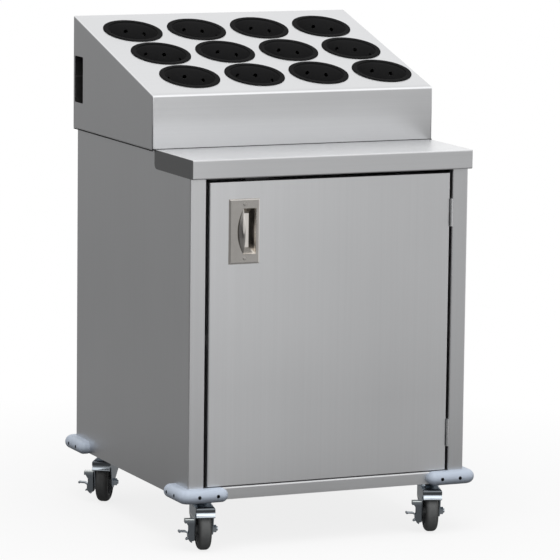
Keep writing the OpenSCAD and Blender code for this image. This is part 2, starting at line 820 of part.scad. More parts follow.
// Side plate, top tab with its turned-down end, and two cheeks that carry the brake lever's pin
module brake_bracket() {
    y0 = -bracket_front;
    y1 = y0 + pedal_w + 2 * (gap + cheek_t);
    x0 = -fork_out - tab_out;
    low_z = brake_z - bracket_low;
    pin = [brake_x, brake_z];
    across(-fork_out - bracket_t, -fork_out) polygon([
        [y0, low_z], [y0, tab_z + bracket_t], [y1, tab_z + bracket_t], [-trail + boss_r, wheel_r + boss_r],
        [-trail + boss_r, wheel_r - boss_r], [y1, low_z]]);
    block([x0, y0, tab_z], [-fork_out, y1, tab_z + bracket_t]);
    block([x0, y0, tab_z - tab_curl], [x0 + bracket_t, y1, tab_z + bracket_t]);
    for (y = [y0, y1 - cheek_t]) along(y, y + cheek_t) polygon([
        [-fork_out, tab_z + sliver], [x0, tab_z + sliver], pin + [-3, 20],
        pin + [-3, 12], pin + [-5, 4], pin + [-4, -3], pin + [0, -7], [-fork_out, low_z]]);
    along(y0, y1) translate(pin) circle(brake_pin_r);
}

module fork(i) {
    color(zinc) at_caster(i) difference() {
        union() {
            intersection() {
                along(-fork_front, fork_rear) difference() {
                    round_rect([-fork_out, 0], [fork_out, crown_z], fork_bend);
                    round_rect([-fork_in / 2, -fork_in], [fork_in / 2, crown_z - fork_t],
                               fork_bend - fork_t);
                }
                across(-fork_out, fork_out) fork_side();
            }
            fork_lip();
            translate([0, 0, crown_z - fork_t]) cylinder(r = crown_r, h = fork_t);
            brake_bracket();
        }
        translate([0, 0, crown_z - 2 * fork_t]) cylinder(r = kingpin_r + fit, h = 4 * fork_t);
        translate([0, -trail, wheel_r]) rotate([0, 90, 0])
            cylinder(r = axle_r + fit, h = 4 * fork_out, center = true);
    }
}

module axle(i) {
    head_x = -fork_out - bracket_t;
    color(zinc) at_caster(i) translate([0, -trail, wheel_r]) rotate([0, 90, 0]) {
        translate([0, 0, head_x]) cylinder(r = axle_r, h = fork_out - head_x + axle_end);
        translate([0, 0, head_x - axle_head_h]) hex_head(axle_head_r, axle_head_h);
        translate([0, 0, fork_out]) hex_head(axle_nut_r, axle_nut_h);
    }
}

module wheel_hub(i) {
    boss_x = fork_in / 2 - gap;
    rim_x = tyre_w / 2 - hub_inset;
    web_x = rim_x / 2;
    color("gray") at_caster(i) translate([0, -trail, wheel_r]) rotate([0, 90, 0]) rotate_extrude() polygon([
        [axle_r + fit, -boss_x], [hub_boss_r, -boss_x], [hub_boss_r, -web_x],
        [hub_rim_r, -web_x + web_draft], [hub_rim_r, -rim_x], [hub_r - fit, -rim_x],
        [hub_r - fit, rim_x], [hub_rim_r, rim_x],
        [hub_rim_r, web_x - web_draft], [hub_boss_r, web_x], [hub_boss_r, boss_x], [axle_r + fit, boss_x]]);
}

module tyre(i) {
    color(black) at_caster(i) translate([0, -trail, wheel_r]) rotate([0, 90, 0]) rotate_extrude($fn = 64)
        intersection() {
            round_rect([hub_r - 2 * tyre_r, -tyre_w / 2], [wheel_r, tyre_w / 2], tyre_r);
            translate([hub_r, -tyre_w / 2]) square([wheel_r, tyre_w]);
        }
}

module brake_lever(i) {
    tip = -fork_out - pedal_reach - brake_x;
    pedal = [
        [-3, 0], [-6, 8], [-9.5, 10], [tip, 10.6], [tip, 13.4], [-9, 13], [-4.5, 10], [-0.5, 3]];
    toe = [[-2, -1], [-1.5, -7], [2, -9.5], [3.5, -8.5], [1.5, -5.5], [2, -1]];
    tongue = [[-2.5, 2], [-8, -1.5], [-8.5, -4], [-7, -4], [-1, -2.5]];
    color(zinc) at_caster(i) translate([brake_x, brake_y, brake_z]) difference() {
        union() {
            along(-pedal_w / 2, pedal_w / 2) circle(brake_pin_r + barrel_t);
            along(-pedal_w / 2, pedal_w / 2) polygon(pedal);
            along(-pedal_w / 2, pedal_w / 2) translate([tip, 11.8]) circle(pedal_end_r);
            along(-pedal_w / 2, pedal_w / 2) polygon(toe);
            along(-pedal_w / 2, pedal_w / 2) polygon(tongue);
        }
        along(-pedal_w, pedal_w) circle(brake_pin_r + fit);
    }
}

side_panel_left();
side_panel_right();
back_panel();
base_pan();
caster_channels();
header_rail();
counter_top();
interior_shelf();
shelf_clips();
hood_top();
hood_side_left();
hood_side_right();
hood_back();
bumper_screws();
hinge_frame_leaves();
magnet_catch();
caster_plates();
caster_bolts();
door_skin();
door_liner();
recessed_pull();
pull_screws();
hinge_door_leaves();
catch_strike();
for (i = [0 : 3]) {
    bumper(i);
    fork(i);
    axle(i);
    wheel_hub(i);
    tyre(i);
    brake_lever(i);
}
for (row = [0 : cup_rows - 1], col = [0 : cup_cols - 1])
    on_slope() translate(cup_at(row, col)) cutlery_cylinder();
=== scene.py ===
"""Dresses the silverware cart: brushed sheets, perforated cylinders, vinyl bumpers, casters and a stage."""

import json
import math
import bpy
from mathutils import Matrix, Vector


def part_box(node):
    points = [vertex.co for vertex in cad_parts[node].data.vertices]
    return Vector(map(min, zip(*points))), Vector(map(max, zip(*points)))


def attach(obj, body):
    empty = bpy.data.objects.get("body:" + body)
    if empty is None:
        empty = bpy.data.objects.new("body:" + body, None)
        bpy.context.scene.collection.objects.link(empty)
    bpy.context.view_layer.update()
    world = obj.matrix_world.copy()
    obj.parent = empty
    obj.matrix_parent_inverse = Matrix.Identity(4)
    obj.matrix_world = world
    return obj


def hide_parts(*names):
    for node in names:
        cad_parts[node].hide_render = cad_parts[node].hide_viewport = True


bl_info = {
    "name": "Silverware Cart",
    "version": (1, 0, 0),
    "blender": (4, 5, 0),
    "location": "View3D > Sidebar > Cart",
    "description": "Dresses a stainless silverware cart and sets its stage",
    "category": "Object",
}

import bmesh
import bpy
from bpy.props import FloatProperty, FloatVectorProperty, IntProperty, PointerProperty
from bpy.types import Operator, Panel, PropertyGroup
from mathutils import Matrix, Vector

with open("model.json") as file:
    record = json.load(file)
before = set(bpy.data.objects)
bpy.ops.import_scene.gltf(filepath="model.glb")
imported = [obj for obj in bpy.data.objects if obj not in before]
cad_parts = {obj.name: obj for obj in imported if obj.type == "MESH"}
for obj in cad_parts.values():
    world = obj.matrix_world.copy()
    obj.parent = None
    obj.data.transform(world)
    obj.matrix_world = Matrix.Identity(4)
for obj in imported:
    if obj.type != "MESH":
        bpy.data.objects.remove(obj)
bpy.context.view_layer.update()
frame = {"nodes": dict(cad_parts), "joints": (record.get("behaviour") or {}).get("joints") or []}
CORNERS = ("front_left", "front_right", "rear_left", "rear_right")
ROWS = ("front", "middle", "back")
COLUMNS = (1, 2, 3, 4)

# Brushed grain: how far its noise is drawn out along each axis
GRAIN_RUN = {"x": (0.004, 1, 1), "z": (1, 1, 0.004)}

# Faces that meet at less than this are shaded as one
SMOOTH = math.radians(40)

# Hood: its slope and sheet, the flange turned in at its foot, and the radii of its crease and of that turn
HOOD_SLOPE, HOOD_SHEET, HOOD_FLANGE = math.radians(15.8), 0.0012, 0.015
HOOD_CREASE, HOOD_ROLL = 0.004, 0.0025
# Dark sealant bead at the hood's foot, which also stands as a painted shadow line under the hood's edge
SEAL_SHADOW_OUT, SEAL_SHADOW_TALL, SEAL_SHADOW_STEPS = 0.0007, 0.0023, 6
SLOT_WIDE, SLOT_TALL, SLOT_CORNER, SLOT_STEPS = 0.043, 0.088, 0.003, 4
SLOT_FROM_REAR, SLOT_FROM_BASE = 0.0075, 0.05
SEAT_HOLE, SEAT_CUT, SEAT_SIDES = 0.1006, 0.03, 64

# Cutlery cylinders, with heights along their own axis from the hood's face: rim, wall, base, seats on the slope
RIM_R, RIM_TOP, RIM_LIP, RIM_SEAT = 0.0567, 0.0014, 0.0006, 0.0001
MOUTH_R, FOOT_R, WALL, DEPTH = 0.0495, 0.043, 0.0025, 0.133
BASE_ROUND, BASE_DISH, BASE_DIMPLE, BASE_EYE = 0.003, 0.001, 0.012, 0.0005
WALL_LAP = 0.0006
FIRST_Y, PITCH_X, PITCH_Y, ROW_STEP = 0.0875, 0.1298, 0.12, 0.0105
RIM_SIDES, FOOT_SIDES, HOLE_SIDES = 72, 48, 16

# Rings of faces about one hole, from its edge (0) to its cell's edge (1)
HOLE_RINGS = (0, 0.4, 1)

# How each cylinder's holes are turned, in degrees from the way that the camera looks
HOLES_FROM = 66
TURNS = {"back": (-18, -31, -19, -17), "middle": (-38, -17, -22, -33), "front": (-12, -42, -25, -20)}

# How far the pull's plate stands out of the door, and where its pocket's sloped wall and floor end
PULL_OUT = 0.003
POCKET_WALL, POCKET_FOOT = 0.0444, 0.0285

# Bumpers, measured from the cabinet's corner, and the painted shade in their screw recesses
BUMPER_OUT, RECESS_R, RECESS_AT, RECESS_SHADE = 0.021, 0.003, (0.0148, 0.0511), 0.94

# Forks, measured from the kingpin and down from the crown, and the brake bracket's tab, up from the floor
FORK_NOSE, FORK_SIDE, FLARE_DROP = -0.057, -0.01775, 0.0095
TAB_FOOT, TAB_THICK = 0.058, 0.003

# Studio in reflections: its level, how that grows to the right and upwards, and its limits
STUDIO_LEVEL, STUDIO_RIGHT, STUDIO_UP, STUDIO_LIMITS = 0.52, 0.4, 0.66, (0.2, 1.1)

# Floor: its radius, its tone in stray light, and its tones in reflections far out, on the left and near the cart,
# where the dark near tone is a painted shadow
FLOOR_R, FLOOR_STRAY = 1.7, 0.1
FLOOR_FAR, FLOOR_LEFT, FLOOR_NEAR = 0.36, 0.26, 0.19

# Lamps: place, aim and size
KEY_LAMP = (-0.5, -1.4, 3.6), (0, 0, 0.5), 3.0
FRONT_LAMP = (-0.55, -2.4, 1.25), (-0.55, 0, 1.25), 2.2


def colour(name, description, default):
    """A colour property with its plain description."""
    return FloatVectorProperty(
        name=name, description=description, default=default, subtype="COLOR", min=0, max=1)


def number(name, description, default, **more):
    """A number property that isn't negative."""
    return FloatProperty(name=name, description=description, default=default, min=0, **more)


def length(name, description, default):
    """A length property in metres."""
    return number(name, description, default, unit="LENGTH")


def angle(name, description, degrees):
    """An angle property, given in degrees."""
    return FloatProperty(name=name, description=description, default=math.radians(degrees), subtype="ANGLE")


class CartSteel(PropertyGroup):
    """Finishes of the bare metal."""

    sheet: colour("Sheet", "Brushed stainless sheet", (0.67, 0.675, 0.685))
    pull: colour("Pull", "Polished stamping of the door pull", (0.5, 0.48, 0.455))
    zinc: colour("Zinc", "Bright zinc plate on casters and fasteners", (0.6, 0.66, 0.72))
    roughness: number("Roughness", "Roughness of the brushed sheet", 0.36, max=1)
    grain: number("Grain", "Depth of the brushed grain", 0.12, max=1)
    edge: length("Edge", "Radius of the ground weld along the hood's edges", 0.002)


class CartPlastic(PropertyGroup):
    """Colours of the moulded pieces."""

    cylinder: colour("Cylinder", "Black cutlery cylinders", (0.034, 0.034, 0.035))
    bumper: colour("Bumper", "Blue-grey vinyl of the corner bumpers", (0.59, 0.665, 0.78))
    tyre: colour("Tyre", "Dark grey tyres", (0.045, 0.046, 0.046))
    hub: colour("Hub", "Grey wheel hubs", (0.16, 0.165, 0.17))
    catch: colour("Catch", "Dark housing of the door catch", (0.03, 0.03, 0.032))
    # Dark sealant at the foot of the hood, which also stands as a painted shadow line
    seal_and_shadow: colour("Seal", "Dark sealant along the foot of the hood", (0.012, 0.012, 0.013))


class CartCylinder(PropertyGroup):
    """Perforation of the cutlery cylinders."""

    hole: length("Hole", "Diameter of one drain hole in the wall", 0.008)
    first: length("First row", "Depth of the first row of holes below the rim", 0.0195)
    pitch: length("Row pitch", "Distance between rows of holes", 0.027)
    rows: IntProperty(name="Rows", description="Rows of holes in the wall", default=4, min=1, max=8)
    around: IntProperty(name="Holes in a row", description="Holes in one row", default=8, min=3, max=16)


class CartStage(PropertyGroup):
    """Camera, floor and studio light."""

    lens: number("Lens", "Focal length of the camera", 252.72, unit="CAMERA")
    azimuth: angle("Azimuth", "How far the camera looks to the right of straight ahead", 23.86)
    elevation: angle("Elevation", "How far the camera looks down", 8.434)
    roll: angle("Roll", "Tilt of the camera about its own axis", 0.684)
    place: FloatVectorProperty(name="Place", description="Where the camera stands",
                               default=(-2.9284, -6.6783, 1.5257), subtype="TRANSLATION", unit="LENGTH")
    floor: colour("Floor", "Pale floor", (0.9, 0.9, 0.9))
    ambient: number("Ambient", "Level of the light from all round", 0.55)
    key: number("Key", "Power of the large lamp over the front", 55, unit="POWER")
    fill: number("Fill", "Power of the lamp before the front", 9, unit="POWER")


class CartSettings(PropertyGroup):
    """All settings of the cart."""

    steel: PointerProperty(type=CartSteel)
    plastic: PointerProperty(type=CartPlastic)
    cylinder: PointerProperty(type=CartCylinder)
    stage: PointerProperty(type=CartStage)


class Tone:
    """One output socket of a node tree. Arithmetic on it adds Math nodes."""

    def __init__(self, finish, socket):
        self.finish = finish
        self.socket = socket

    def other(self, name):
        """Another output of the same node."""
        return Tone(self.finish, self.socket.node.outputs[name])

    def sum(self, operation, left, right):
        """A Math node on two values."""
        return self.finish.node("ShaderNodeMath", {"operation": operation}, {0: left, 1: right})

    def __add__(self, other):
        return self.sum("ADD", self, other)

    def __sub__(self, other):
        return self.sum("SUBTRACT", self, other)

    def __rsub__(self, other):
        return self.sum("SUBTRACT", other, self)

    def __mul__(self, other):
        return self.sum("MULTIPLY", self, other)

    def __truediv__(self, other):
        return self.sum("DIVIDE", self, other)

    def __rtruediv__(self, other):
        return self.sum("DIVIDE", other, self)

    def __pow__(self, other):
        return self.sum("POWER", self, other)

    __radd__ = __add__
    __rmul__ = __mul__


class Finish:
    """A node tree being written, of a material or the world."""

    def __init__(self, owner, output):
        owner.use_nodes = True
        self.owner = owner
        self.tree = owner.node_tree
        self.tree.nodes.clear()
        self.output = self.tree.nodes.new(output)

    def node(self, kind, settings=None, inputs=None, out=0):
        """Adds a node: its settings are set first, then the values or links of its sockets."""
        made = self.tree.nodes.new(kind)
        for name, value in (settings or {}).items():
            setattr(made, name, value)
        for key, value in (inputs or {}).items():
            if isinstance(value, Tone):
                self.tree.links.new(value.socket, made.inputs[key])
            else:
                made.inputs[key].default_value = value
        return Tone(self, made.outputs[out])

    def close(self, surface):
        """Links the finished shader to the output."""
        self.tree.links.new(surface.socket, self.output.inputs["Surface"])
        return self.owner

    def here(self):
        """The point on the piece, in metres in its own frame."""
        return self.node("ShaderNodeTexCoord", out="Object")

    def part(self, point, axis):
        """One coordinate of a point."""
        return self.node("ShaderNodeSeparateXYZ", None, {0: point}, out=axis)

    def vector(self, operation, *values, out=0):
        """A Vector Math node."""
        return self.node("ShaderNodeVectorMath", {"operation": operation}, dict(enumerate(values)), out)

    def noise(self, point, scale, detail=2, stretch=(1, 1, 1)):
        """Noise from 0 to 1, drawn out along the axes whose stretch is small."""
        if stretch != (1, 1, 1):
            point = self.node("ShaderNodeMapping", None, {"Vector": point, "Scale": stretch})
        return self.node("ShaderNodeTexNoise", None, {"Vector": point, "Scale": scale, "Detail": detail})

    def mix(self, share, first, second):
        """Mixes two colours."""
        return self.node("ShaderNodeMix", {"data_type": "RGBA"}, {0: share, 6: first, 7: second}, out=2)

    def between(self, value, low, high):
        """0 at low, 1 at high, straight in between."""
        return self.node("ShaderNodeMapRange", None, {"Value": value, "From Min": low, "From Max": high})

    def clamp(self, value, low=0, high=1):
        """A value kept between two limits."""
        return self.node("ShaderNodeClamp", None, {"Value": value, "Min": low, "Max": high})

    def glow(self, strength):
        """A white glow."""
        return self.node("ShaderNodeEmission", None, {"Color": (1, 1, 1, 1), "Strength": strength})

    def blend(self, share, first, second):
        """Mixes two shaders."""
        return self.node("ShaderNodeMixShader", None, {0: share, 1: first, 2: second})

    def bump(self, height, strength, distance, corner=0.0):
        """A bumped normal, with sharp edges rounded to a radius."""
        inputs = {"Height": height, "Strength": strength, "Distance": distance}
        if corner:
            inputs["Normal"] = self.node("ShaderNodeBevel", {"samples": 8}, {"Radius": corner})
        return self.node("ShaderNodeBump", None, inputs)

    def edge(self, radius):
        """1 along sharp edges, 0 on flat faces."""
        rounded = self.node("ShaderNodeBevel", {"samples": 4}, {"Radius": radius})
        flat = self.node("ShaderNodeNewGeometry", out="Normal")
        return self.between(self.vector("DOT_PRODUCT", rounded, flat, out="Value"), 0.99, 0.8)

    def patched(self, body, point, patches):
        """A colour made lighter or darker in places.

        A patch is a level, then spans: an axis, where the patch starts and where it is full. Later patches lie
        on top of earlier ones.
        """
        lit = 1
        for level, *spans in patches:
            share = 1
            for axis, start, full in spans:
                share = self.between(self.part(point, axis), start, full) * share
            lit = lit + (level - lit) * share
        return self.lit(body, lit)

    def lit(self, body, level):
        """A colour times a level."""
        settings = {"data_type": "RGBA", "blend_type": "MULTIPLY"}
        return self.node("ShaderNodeMix", settings, {0: 1.0, 6: body, 7: level}, out=2)


def material(name):
    """A new material with an empty node tree."""
    return Finish(bpy.data.materials.new(name), "ShaderNodeOutputMaterial")


def shade(tint, level):
    """A colour made lighter or darker, with full alpha."""
    return (*[min(1, c * level) for c in tint], 1)


def brushed_steel(name, settings, grain, level=1.0, rough=None, patches=()):
    """Stainless sheet, brushed along one axis of the cart and a little brighter along its edges, partly wear and
    partly painted highlight.
    """
    finish = material(name)
    here = finish.here()
    hair = finish.noise(here, 1500, 3, GRAIN_RUN[grain])
    streak = finish.noise(here, 160, 2, GRAIN_RUN[grain])
    cloud = finish.noise(here, 5)
    tone = 0.5 + (hair - 0.5) * 0.5 + (streak - 0.5) * 0.5 + (cloud - 0.5) * 0.5
    rough = settings.roughness if rough is None else rough
    # Edges painted lighter: partly wear, partly painted highlight
    edge_wear_and_highlight = finish.edge(0.0008)
    body = finish.mix(tone, shade(settings.sheet, level * 0.94), shade(settings.sheet, level * 1.06))
    body = finish.mix(edge_wear_and_highlight * 0.5, body, shade(settings.sheet, level * 1.35))
    return finish.close(finish.node("ShaderNodeBsdfPrincipled", None, {
        "Base Color": finish.patched(body, here, patches) if patches else body,
        "Metallic": 1.0,
        "Roughness": rough + (streak - 0.5) * 0.1 + (cloud - 0.5) * 0.06 - edge_wear_and_highlight * 0.1,
        "Normal": finish.bump(hair, settings.grain, 0.00004),
    }))


def plated_steel(name, tint, rough, patches=(), corner=0.0, stand=((0, 0, 0), 0)):
    """Smooth plated or polished metal with faint handling marks and bright edges, partly wear and partly painted
    highlight.

    The corner is the radius of its edges. Patches are measured from the stand, a place with a turn about Z.
    """
    finish = material(name)
    here = finish.here()
    cloud = finish.noise(here, 60, 3)
    mark = finish.noise(here, 900, 2)
    # Edges painted lighter: partly wear, partly painted highlight
    edge_wear_and_highlight = finish.edge(0.0006)
    local = finish.node("ShaderNodeMapping", {"vector_type": "TEXTURE"}, {
        "Vector": here, "Location": stand[0], "Rotation": (0, 0, stand[1])})
    body = finish.mix(cloud, shade(tint, 0.88), shade(tint, 1.1))
    body = finish.mix(edge_wear_and_highlight * 0.7, body, shade(tint, 1.4))
    return finish.close(finish.node("ShaderNodeBsdfPrincipled", None, {
        "Base Color": finish.patched(body, local, patches) if patches else body,
        "Metallic": 1.0,
        "Roughness": rough + (cloud - 0.5) * 0.12 + edge_wear_and_highlight * 0.08,
        "Normal": finish.bump(mark, 0.06, 0.00005, corner),
    }))


def moulded(name, tint, rough, pebble, scale, spread=0.12, gloss=0.5, patches=(), marks=None):
    """Moulded plastic, vinyl or rubber with a fine pebbled skin and lighter edges, partly wear and partly painted
    highlight. Marks give a level for each point, used as painted shade.
    """
    finish = material(name)
    here = finish.here()
    skin = finish.noise(here, scale, 3)
    cloud = finish.noise(here, 18, 2)
    # Edges painted lighter: partly wear, partly painted highlight
    edge_wear_and_highlight = finish.edge(0.0008)
    body = finish.mix(cloud * 0.6 + skin * 0.4, shade(tint, 1 - spread), shade(tint, 1 + spread))
    body = finish.mix(edge_wear_and_highlight * 0.5, body, shade(tint, 1.3))
    body = finish.patched(body, here, patches) if patches else body
    return finish.close(finish.node("ShaderNodeBsdfPrincipled", None, {
        "Base Color": finish.lit(body, marks(finish, here)) if marks else body,
        "Roughness": rough + (skin - 0.5) * 0.14 + edge_wear_and_highlight * 0.08,
        "Specular IOR Level": gloss,
        "Normal": finish.bump(skin, pebble, 0.0002),
    }))


def joint(name):
    """One joint of the frame."""
    return next(entry for entry in frame["joints"] if entry["name"] == name)


def fork_zinc(corner, tint):
    """Zinc plate with painted shade on the fork's nose and the brake bracket's cheeks, and painted highlights on
    the flare and the tab.
    """
    across = joint(f"roll_{corner}")["axis"]
    kingpin = joint(f"swivel_{corner}")["pos_m"]
    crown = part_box(f"fork_{corner}")[1].z - kingpin[2]
    flare, tab = crown - FLARE_DROP, TAB_FOOT - kingpin[2]
    tab_top = tab + TAB_THICK
    front = ("Y", FORK_NOSE + 0.001, FORK_NOSE)
    aside = ("X", FORK_SIDE + 0.0005, FORK_SIDE)
    # Painted shade and painted highlights, as levels over the zinc
    patches = (
        (1.35, front, ("Z", flare + 0.0003, flare - 0.0003)),
        (0.28, front, ("Z", flare - 0.0003, flare + 0.0003), ("Z", crown - 0.0004, crown - 0.001)),
        (0.55, aside, ("Z", tab, tab - 0.006)),
        (1.6, aside, ("Z", tab - 0.0002, tab + 0.0002), ("Z", tab_top + 0.0002, tab_top - 0.0002)))
    stand = (kingpin, math.atan2(across[1], across[0]))
    return plated_steel(f"zinc_fork_{corner}", tint, 0.17, patches, 0.0022, stand)


def screw_recess_shade(finish, point):
    """Painted shade in the recesses of the bumpers' screws, and 1 elsewhere."""
    low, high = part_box("bumper_front_left")
    x = finish.part(point, "X")
    rise = x.other("Z") - (low.z + high.z) / 2
    recess = 0
    for along, end in ((x, low.x), (x.other("Y"), low.y)):
        mirrored = finish.node("ShaderNodeMath", {"operation": "ABSOLUTE"}, {0: along})
        for place in RECESS_AT:
            aside = mirrored - (-end - BUMPER_OUT - place)
            reach = (aside * aside + rise * rise) ** 0.5
            recess = recess + finish.between(reach, RECESS_R + 0.0006, RECESS_R + 0.0001)
    return 1 - recess * RECESS_SHADE


def tyre_rubber(corner, tint):
    """Rubber with a paler, scuffed tread about the wheel's own axle."""
    roll = joint(f"roll_{corner}")
    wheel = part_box(f"tyre_{corner}")[1].z
    finish = material(f"tyre_rubber_{corner}")
    spoke = finish.vector("SUBTRACT", finish.here(), roll["pos_m"])
    reach = finish.vector("LENGTH", finish.vector("CROSS_PRODUCT", spoke, roll["axis"]), out="Value")
    skin = finish.noise(spoke, 1100, 3)
    scuff = finish.noise(spoke, 130, 3)
    tread = finish.between(reach, wheel / 2 - 0.004, wheel / 2 - 0.0005) * (0.6 + scuff * 0.6)
    side = finish.mix(skin, shade(tint, 0.85), shade(tint, 1.15))
    return finish.close(finish.node("ShaderNodeBsdfPrincipled", None, {
        "Base Color": finish.mix(tread, side, shade(tint, 3.2)),
        "Roughness": 0.5 + (skin - 0.5) * 0.14 + tread * 0.15,
        "Normal": finish.bump(skin * 0.6 + scuff * 0.4, 0.2, 0.0002),
    }))


def finished(obj):
    """Applies an object's modifiers to its mesh."""
    bpy.context.view_layer.update()
    depsgraph = bpy.context.evaluated_depsgraph_get()
    made = bpy.data.meshes.new_from_object(obj.evaluated_get(depsgraph))
    obj.modifiers.clear()
    obj.data = made
    made.name = obj.name


def piece(name, bm):
    """A new object from a bmesh, smooth except where faces meet at a wide angle."""
    mesh = bpy.data.meshes.new(name)
    bm.normal_update()
    for edge in bm.edges:
        edge.smooth = len(edge.link_faces) != 2 or edge.calc_face_angle(0) < SMOOTH
    for face in bm.faces:
        face.smooth = True
    bm.to_mesh(mesh)
    bm.free()
    obj = bpy.data.objects.new(name, mesh)
    bpy.context.scene.collection.objects.link(obj)
    return obj


def dress(obj, finish):
    """Gives an object one finish."""
    obj.data.materials.clear()
    obj.data.materials.append(finish)
    return obj


def dress_nodes(finish, *names):
    """Gives CAD pieces one finish. Their shapes stay as they are."""
    for name in names:
        dress(frame["nodes"][name], finish)


def each_corner(stem):
    """The four pieces of one kind at the cart's corners."""
    return [f"{stem}_{corner}" for corner in CORNERS]


def band(bm, low, high):
    """Faces between two closed rows of vertices."""
    for k in range(len(low)):
        n = (k + 1) % len(low)
        bm.faces.new((low[k], low[n], high[n], high[k]))


def lathe(bm, profile, sides):
    """Turns a profile of (radius, height) points about the Z axis."""
    turns = [2 * math.pi * k / sides for k in range(sides)]
    rings = [[bm.verts.new((r * math.cos(a), r * math.sin(a), z)) for a in turns] for r, z in profile]
    for low, high in zip(rings, rings[1:]):
        band(bm, low, high)


def hood_sizes():
    """The hood's half width, front, back, base, crease and top, in metres."""
    low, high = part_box("hood_side_left")
    return -low.x, low.y, high.y, low.z, high.z - (high.y - low.y) * math.tan(HOOD_SLOPE), high.z


def slope_place(row, column):
    """Where a cylinder sits on the hood's slope, as a matrix."""
    _, front, _, _, crease, _ = hood_sizes()
    back = ROWS.index(row)
    x = (column - 2.5) * PITCH_X + (2 - back) * ROW_STEP
    face = Matrix.Translation((0, front, crease)) @ Matrix.Rotation(HOOD_SLOPE, 4, "X")
    return face @ Matrix.Translation((x, FIRST_Y + back * PITCH_Y, 0))


def wall_radius(height):
    """Outer radius of a cylinder's tapered wall."""
    return FOOT_R + (MOUTH_R - FOOT_R) * (height + DEPTH) / DEPTH


def pierced_skin(bm, look, height, middle, inset):
    """One skin of a wall's cell about its hole. Returns the vertices along the hole's edge."""
    hole, step = look.hole / 2, 2 * math.pi / look.around
    rings = []
    for share in HOLE_RINGS:
        points = []
        for k in range(HOLE_SIDES):
            c = 2 * math.pi * k / HOLE_SIDES
            u, v = math.cos(c), math.sin(c)
            side = max(abs(u), abs(v))
            turn = (1 - share) * hole / (wall_radius(height) - inset) * u + share * (u / side) * step / 2
            rise = (1 - share) * hole * v + share * (v / side) * look.pitch / 2
            a, r, z = middle + turn, wall_radius(height + rise) - inset, height + rise
            points.append(bm.verts.new((r * math.cos(a), r * math.sin(a), z)))
        rings.append(points)
    for inner, outer in zip(rings, rings[1:]):
        band(bm, *((outer, inner) if inset else (inner, outer)))
    return rings[0]


def perforated_wall(bm, look, turn):
    """The tapered wall with its rows of drain holes, one hole to a cell. Returns its upper and lower end."""
    for row in range(look.rows):
        height = RIM_TOP - look.first - row * look.pitch
        for cell in range(look.around):
            middle = turn + cell * (2 * math.pi / look.around)
            outside = pierced_skin(bm, look, height, middle, 0)
            inside = pierced_skin(bm, look, height, middle, WALL)
            band(bm, outside, inside)
    return RIM_TOP - look.first + look.pitch / 2, RIM_TOP - look.first - (look.rows - 0.5) * look.pitch


def cylinder_mesh(name, look, turn):
    """One cutlery cylinder: rolled rim, perforated wall and a dished base."""
    bm = bmesh.new()
    top, bottom = perforated_wall(bm, look, turn)
    bmesh.ops.remove_doubles(bm, verts=bm.verts, dist=1e-5)
    top, bottom = top - WALL_LAP, bottom + WALL_LAP
    soft = RIM_LIP * 0.3
    mouth, foot, floor, base = MOUTH_R - WALL, FOOT_R - WALL, WALL - DEPTH, -DEPTH
    lathe(bm, [
        (wall_radius(top), top), (MOUTH_R, RIM_SEAT), (RIM_R - soft, RIM_SEAT), (RIM_R, RIM_SEAT + soft),
        (RIM_R, RIM_TOP - RIM_LIP), (RIM_R - soft, RIM_TOP - soft), (RIM_R - RIM_LIP, RIM_TOP),
        (mouth + RIM_LIP, RIM_TOP), (mouth + soft, RIM_TOP - soft), (mouth, RIM_TOP - RIM_LIP),
        (wall_radius(top) - WALL, top)], RIM_SIDES)
    lathe(bm, [
        (wall_radius(bottom) - WALL, bottom), (foot, floor + BASE_ROUND), (foot - BASE_ROUND, floor),
        (BASE_DIMPLE, floor), (BASE_EYE, floor + BASE_EYE), (BASE_EYE, base + BASE_DISH),
        (FOOT_R - BASE_ROUND - BASE_DISH, base + BASE_DISH), (FOOT_R - BASE_ROUND, base),
        (FOOT_R - BASE_DISH, base), (FOOT_R, base + BASE_DISH), (wall_radius(bottom), bottom)], FOOT_SIDES)
    bmesh.ops.recalc_face_normals(bm, faces=bm.faces)
    return piece(name, bm)


def slot_prism(bm, y, z, reach):
    """A prism across the hood with the hand slots' rounded section."""
    section = []
    for turn, (u, v) in enumerate(((1, 1), (-1, 1), (-1, -1), (1, -1))):
        for step in range(SLOT_STEPS + 1):
            a = math.pi / 2 * (turn + step / SLOT_STEPS)
            section.append((y + u * (SLOT_WIDE / 2 - SLOT_CORNER) + SLOT_CORNER * math.cos(a),
                            z + v * (SLOT_TALL / 2 - SLOT_CORNER) + SLOT_CORNER * math.sin(a)))
    near, far = ([bm.verts.new((x, *point)) for point in section] for x in (-reach, reach))
    bm.faces.new(near[::-1])
    bm.faces.new(far)
    band(bm, near, far)
    bmesh.ops.recalc_face_normals(bm, faces=bm.faces)


def bead(bm, start, end, out, up):
    """A half-round dark bead of sealant, which also stands as a painted shadow line, along a straight joint, out
    from it and up beside it.
    """
    turns = [math.pi * k / SEAL_SHADOW_STEPS for k in range(SEAL_SHADOW_STEPS + 1)]
    arc = [Vector(out) * math.sin(a) + Vector(up) * (1 - math.cos(a)) / 2 for a in turns]
    rows = [[bm.verts.new(Vector(at) + step) for step in arc] for at in (start, end)]
    for row in rows:
        bm.faces.new(row)
    band(bm, *rows)


